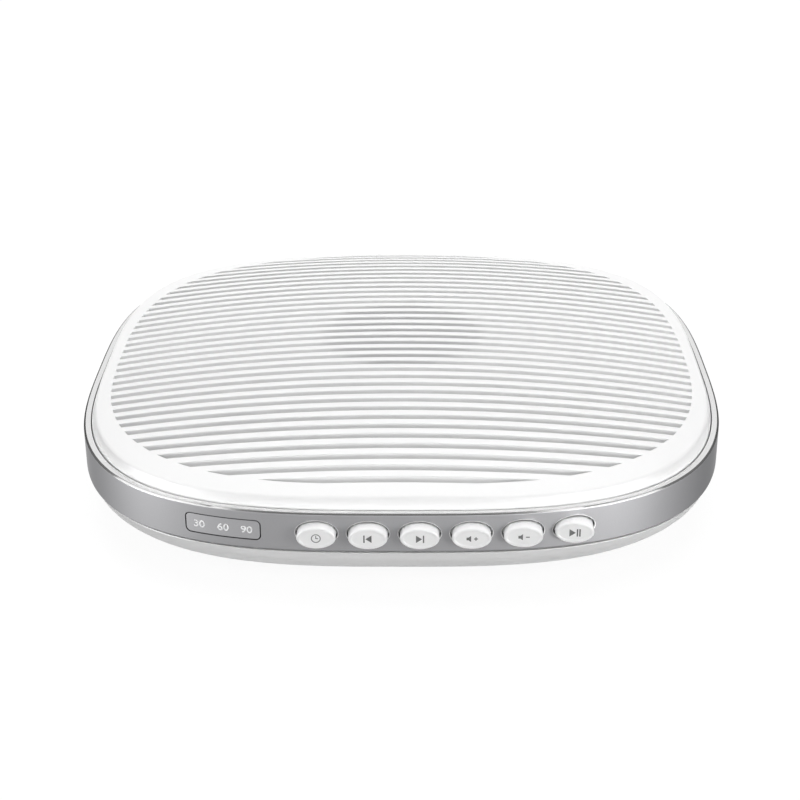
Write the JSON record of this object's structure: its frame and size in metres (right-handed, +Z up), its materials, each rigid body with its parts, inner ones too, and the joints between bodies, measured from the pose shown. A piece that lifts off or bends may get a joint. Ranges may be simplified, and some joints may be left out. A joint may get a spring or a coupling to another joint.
{
  "type": "white noise sound machine",
  "caption": "Low, rounded-square sound machine with a ribbed domed speaker cover, a trim band with push buttons and a timer window, and a power inlet at the back.",
  "frame": {"origin": "middle of the body in plan, on the surface that the feet stand on", "axes": "+Z up, +X to the right seen from the front, +Y from the buttons at the front to the power inlet at the back"},
  "size_m": [0.15, 0.153, 0.0285],
  "materials": {
    "cover_plastic": "satin white moulded plastic",
    "silver_trim": "silver paint with a fine flake, over moulded plastic",
    "base_plastic": "satin white moulded plastic",
    "window_plastic": "silver printed window with white numbers",
    "button_plastic": "pale grey plastic with dark symbols",
    "white_plastic": "plain moulded plastic",
    "black_plastic": "plain black plastic",
    "lamp_plastic": "clear cast resin",
    "circuit_board": "green solder mask",
    "basket_steel": "black coated pressed steel",
    "screen_cloth": "fine grey speaker cloth",
    "foam": "grey closed-cell foam",
    "surround_rubber": "matte rubber",
    "cone_paper": "pressed paper",
    "copper": "enamelled copper wire",
    "spider_cloth": "corrugated resin-dipped cloth",
    "plated_steel": "zinc plated",
    "ferrite": "sintered ferrite, ground faces",
    "tag_board": "brown fibre board",
    "screw_steel": "zinc plated",
    "lead_sleeve": "soft insulation",
    "capacitor_can": "sleeved can",
    "socket_plastic": "natural nylon",
    "ribbon_sleeve": "grey flat cable",
    "pin_brass": "plated contact",
    "foot_rubber": "grey moulded rubber"
  },
  "bodies": {
    "housing": {"top_cover": "cover_plastic", "trim_band": "silver_trim", "base_housing": "base_plastic", "timer_window": "window_plastic", "switch_cases": "black_plastic", "button_board": "circuit_board", "button_guide": "white_plastic", "timer_lamps": "lamp_plastic", "light_baffle": "black_plastic", "dust_screen": "screen_cloth", "speaker_basket": "basket_steel", "speaker_gasket": "foam", "speaker_surround": "surround_rubber", "speaker_spider": "spider_cloth", "top_plate": "plated_steel", "speaker_magnet": "ferrite", "magnet_yoke": "plated_steel", "terminal_strip": "tag_board", "speaker_screws": "screw_steel", "speaker_leads": "lead_sleeve", "main_board": "circuit_board", "board_chips": "black_plastic", "board_capacitors": "capacitor_can", "board_sockets": "socket_plastic", "main_board_screws": "screw_steel", "ribbon_cable": "ribbon_sleeve", "inlet_body": "black_plastic", "inlet_pin": "pin_brass", "rubber_feet": "foot_rubber", "case_screws": "screw_steel"},
    "timer_key": {"timer_button": "button_plastic", "timer_plunger": "black_plastic"},
    "previous_key": {"previous_button": "button_plastic", "previous_plunger": "black_plastic"},
    "next_key": {"next_button": "button_plastic", "next_plunger": "black_plastic"},
    "volume_up_key": {"volume_up_button": "button_plastic", "volume_up_plunger": "black_plastic"},
    "volume_down_key": {"volume_down_button": "button_plastic", "volume_down_plunger": "black_plastic"},
    "play_key": {"play_button": "button_plastic", "play_plunger": "black_plastic"},
    "diaphragm": {"speaker_cone": "cone_paper", "dust_cap": "cone_paper", "voice_coil": "copper"}
  },
  "joints": [
    {"name": "timer_press", "type": "slide", "parent": "housing", "child": "timer_key", "axis": [0, 1, 0], "range_m": [0, 0.0005], "stiffness_N_per_m": 3200},
    {"name": "previous_press", "type": "slide", "parent": "housing", "child": "previous_key", "axis": [0, 1, 0], "range_m": [0, 0.0005], "stiffness_N_per_m": 3200},
    {"name": "next_press", "type": "slide", "parent": "housing", "child": "next_key", "axis": [0, 1, 0], "range_m": [0, 0.0005], "stiffness_N_per_m": 3200},
    {"name": "volume_up_press", "type": "slide", "parent": "housing", "child": "volume_up_key", "axis": [0, 1, 0], "range_m": [0, 0.0005], "stiffness_N_per_m": 3200},
    {"name": "volume_down_press", "type": "slide", "parent": "housing", "child": "volume_down_key", "axis": [0, 1, 0], "range_m": [0, 0.0005], "stiffness_N_per_m": 3200},
    {"name": "play_press", "type": "slide", "parent": "housing", "child": "play_key", "axis": [0, 1, 0], "range_m": [0, 0.0005], "stiffness_N_per_m": 3200},
    {"name": "cone_travel", "type": "slide", "parent": "housing", "child": "diaphragm", "axis": [0, 0, 1], "range_m": [-0.0006, 0.0006], "stiffness_N_per_m": 2300, "deforming": ["speaker_surround", "speaker_spider"]}
  ]
}
